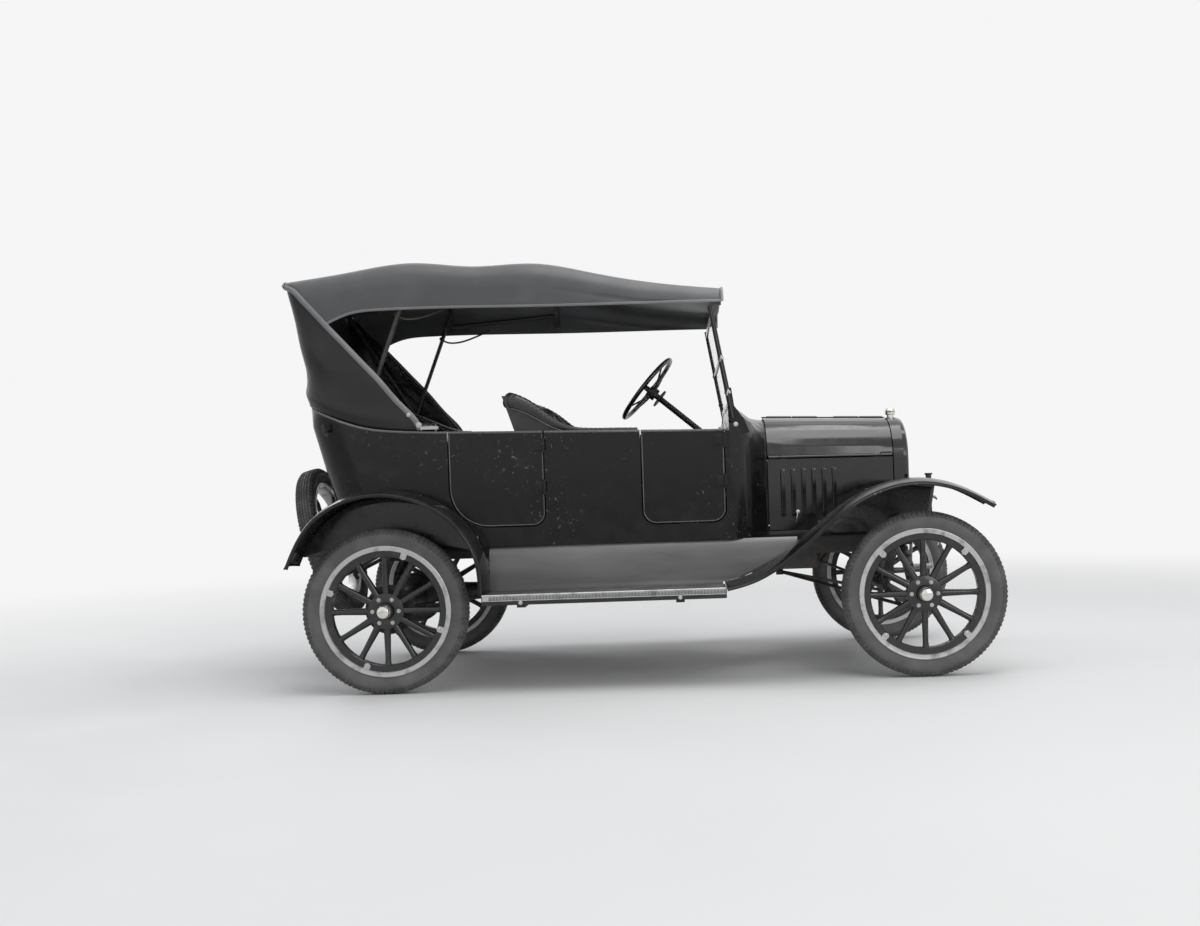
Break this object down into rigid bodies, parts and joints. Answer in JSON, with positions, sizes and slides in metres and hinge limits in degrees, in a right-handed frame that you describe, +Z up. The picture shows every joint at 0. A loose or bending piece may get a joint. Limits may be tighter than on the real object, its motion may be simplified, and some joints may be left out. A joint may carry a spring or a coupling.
{
  "type": "open four-seat touring car of the early 1920s",
  "caption": "Small open touring car with its cloth top up, spoked wheels, a louvred folding hood, running boards and doors that open.",
  "frame": {"origin": "on the ground, below the middle of the car's bounding box", "axes": "+X forward, +Y to the car's left, +Z up"},
  "size_m": [3.4992, 1.676, 2.092],
  "materials": {
    "black_enamel": "glossy black enamel with scuffs",
    "chassis_black": "plain black paint",
    "tyre_black": "worn black rubber",
    "wheel_black": "black painted hickory spokes and felloe",
    "rim_grey": "dull steel rim",
    "seat_black": "black coated seat cloth, tufted",
    "top_cloth": "black rubberised top cloth with a soft sheen",
    "bow_wood": "dark painted bent wood",
    "clear_glass": "clear flat glass",
    "engine_iron": "rough cast iron",
    "steel_dull": "dull worn steel",
    "nickel": "bright nickel plate",
    "floor_wood": "worn boards"
  },
  "bodies": {
    "car": {"front_axle": "chassis_black", "steering_column": "chassis_black", "chassis_frame": "chassis_black", "leaf_springs": "chassis_black", "rear_axle": "chassis_black", "engine_block": "engine_iron", "exhaust": "steel_dull", "starting_crank": "steel_dull", "fuel_tank": "steel_dull", "body_shell": "black_enamel", "floor_boards": "floor_wood", "pedals_and_levers": "steel_dull", "firewall": "floor_wood", "instrument_panel": "black_enamel", "seat_bases": "floor_wood", "front_seat_shell": "black_enamel", "seat_backs": "seat_black", "seat_cushions": "seat_black", "hood_rests": "chassis_black", "radiator_shell": "black_enamel", "radiator_core": "chassis_black", "radiator_cap": "nickel", "lamp_brackets": "chassis_black", "windshield_frame": "black_enamel", "windshield_glass": "clear_glass", "front_fenders": "black_enamel", "rear_fenders": "black_enamel", "running_boards": "black_enamel", "splash_aprons": "black_enamel", "top_bows": "bow_wood", "top_cover": "top_cloth", "rear_curtain": "top_cloth", "rear_window": "clear_glass", "spare_tyre": "tyre_black", "spare_rim": "rim_grey", "spare_carrier": "chassis_black"},
    "left_knuckle": {"knuckle_left": "chassis_black"},
    "right_knuckle": {"knuckle_right": "chassis_black"},
    "tie_rod_link": {"tie_rod": "chassis_black", "drag_link": "chassis_black"},
    "pitman": {"pitman_arm": "chassis_black"},
    "hand_wheel": {"steering_wheel": "bow_wood"},
    "front_right_wheel": {"wheel_front_right": "wheel_black", "tyre_front_right": "tyre_black"},
    "front_left_wheel": {"wheel_front_left": "wheel_black", "tyre_front_left": "tyre_black"},
    "rear_right_wheel": {"wheel_rear_right": "wheel_black", "tyre_rear_right": "tyre_black"},
    "rear_left_wheel": {"wheel_rear_left": "wheel_black", "tyre_rear_left": "tyre_black"},
    "front_right_door_body": {"door_front_right": "black_enamel"},
    "rear_right_door_body": {"door_rear_right": "black_enamel"},
    "rear_left_door_body": {"door_rear_left": "black_enamel"},
    "hood_right_top": {"hood_top_right": "black_enamel"},
    "hood_left_top": {"hood_top_left": "black_enamel"},
    "hood_right_side": {"hood_side_right": "black_enamel"},
    "hood_left_side": {"hood_side_left": "black_enamel"}
  },
  "joints": [
    {"name": "steer_left", "type": "hinge", "parent": "car", "child": "left_knuckle", "pos_m": [1.35956, 0.593, 0.39], "axis": [0, 0, 1], "range_deg": [-30, 30]},
    {"name": "steer_right", "type": "hinge", "parent": "car", "child": "right_knuckle", "pos_m": [1.35956, -0.593, 0.39], "axis": [0, 0, 1], "range_deg": [-30, 30]},
    {"name": "tie_rod_swing", "type": "hinge", "parent": "left_knuckle", "child": "tie_rod_link", "pos_m": [1.20956, 0.593, 0.392], "axis": [0, 0, 1], "range_deg": [-30, 30]},
    {"name": "pitman_turn", "type": "hinge", "parent": "car", "child": "pitman", "pos_m": [1.06816, 0.24544, 0.60485], "axis": [-0.7602, 0.056, 0.6473], "range_deg": [-30, 30]},
    {"name": "steering_wheel_turn", "type": "hinge", "parent": "car", "child": "hand_wheel", "pos_m": [0.05556, 0.32, 1.467], "axis": [-0.7602, 0.056, 0.6473], "range_deg": [-120, 120]},
    {"name": "front_right_spin", "type": "hinge", "parent": "right_knuckle", "child": "front_right_wheel", "pos_m": [1.35956, -0.711, 0.39], "axis": [0, 1, 0], "continuous": true},
    {"name": "front_left_spin", "type": "hinge", "parent": "left_knuckle", "child": "front_left_wheel", "pos_m": [1.35956, 0.711, 0.39], "axis": [0, 1, 0], "continuous": true},
    {"name": "rear_right_spin", "type": "hinge", "parent": "car", "child": "rear_right_wheel", "pos_m": [-1.18044, -0.711, 0.39], "axis": [0, 1, 0], "continuous": true},
    {"name": "rear_left_spin", "type": "hinge", "parent": "car", "child": "rear_left_wheel", "pos_m": [-1.18044, 0.711, 0.39], "axis": [0, 1, 0], "continuous": true},
    {"name": "front_right_door", "type": "hinge", "parent": "car", "child": "front_right_door_body", "pos_m": [0.44356, -0.621, 0.9], "axis": [0, 0, 1], "range_deg": [0, 75]},
    {"name": "rear_right_door", "type": "hinge", "parent": "car", "child": "rear_right_door_body", "pos_m": [-0.42544, -0.621, 0.9], "axis": [0, 0, 1], "range_deg": [0, 75]},
    {"name": "rear_left_door", "type": "hinge", "parent": "car", "child": "rear_left_door_body", "pos_m": [-0.42544, 0.621, 0.9], "axis": [0, 0, -1], "range_deg": [0, 75]},
    {"name": "hood_right_lid", "type": "hinge", "parent": "car", "child": "hood_right_top", "pos_m": [0.66556, 0, 1.274], "axis": [-0.9995, 0, 0.0316], "range_deg": [0, 75]},
    {"name": "hood_left_lid", "type": "hinge", "parent": "car", "child": "hood_left_top", "pos_m": [0.66556, 0, 1.274], "axis": [0.9995, 0, -0.0316], "range_deg": [0, 75]},
    {"name": "hood_right_side_fold", "type": "hinge", "parent": "hood_right_top", "child": "hood_right_side", "pos_m": [0.66556, -0.33, 1.059], "axis": [-0.9984, -0.0568, 0.0079], "range_deg": [-37.5, 0]},
    {"name": "hood_left_side_fold", "type": "hinge", "parent": "hood_left_top", "child": "hood_left_side", "pos_m": [0.66556, 0.33, 1.059], "axis": [0.9984, -0.0568, -0.0079], "range_deg": [-37.5, 0]}
  ],
  "couplings": [
    {"joint": "steer_right", "follows": "steer_left", "ratio": 1},
    {"joint": "tie_rod_swing", "follows": "steer_left", "ratio": -1},
    {"joint": "pitman_turn", "follows": "steer_left", "ratio": 1},
    {"joint": "steering_wheel_turn", "follows": "steer_left", "ratio": 4},
    {"joint": "hood_right_side_fold", "follows": "hood_right_lid", "ratio": -0.5},
    {"joint": "hood_left_side_fold", "follows": "hood_left_lid", "ratio": -0.5}
  ]
}
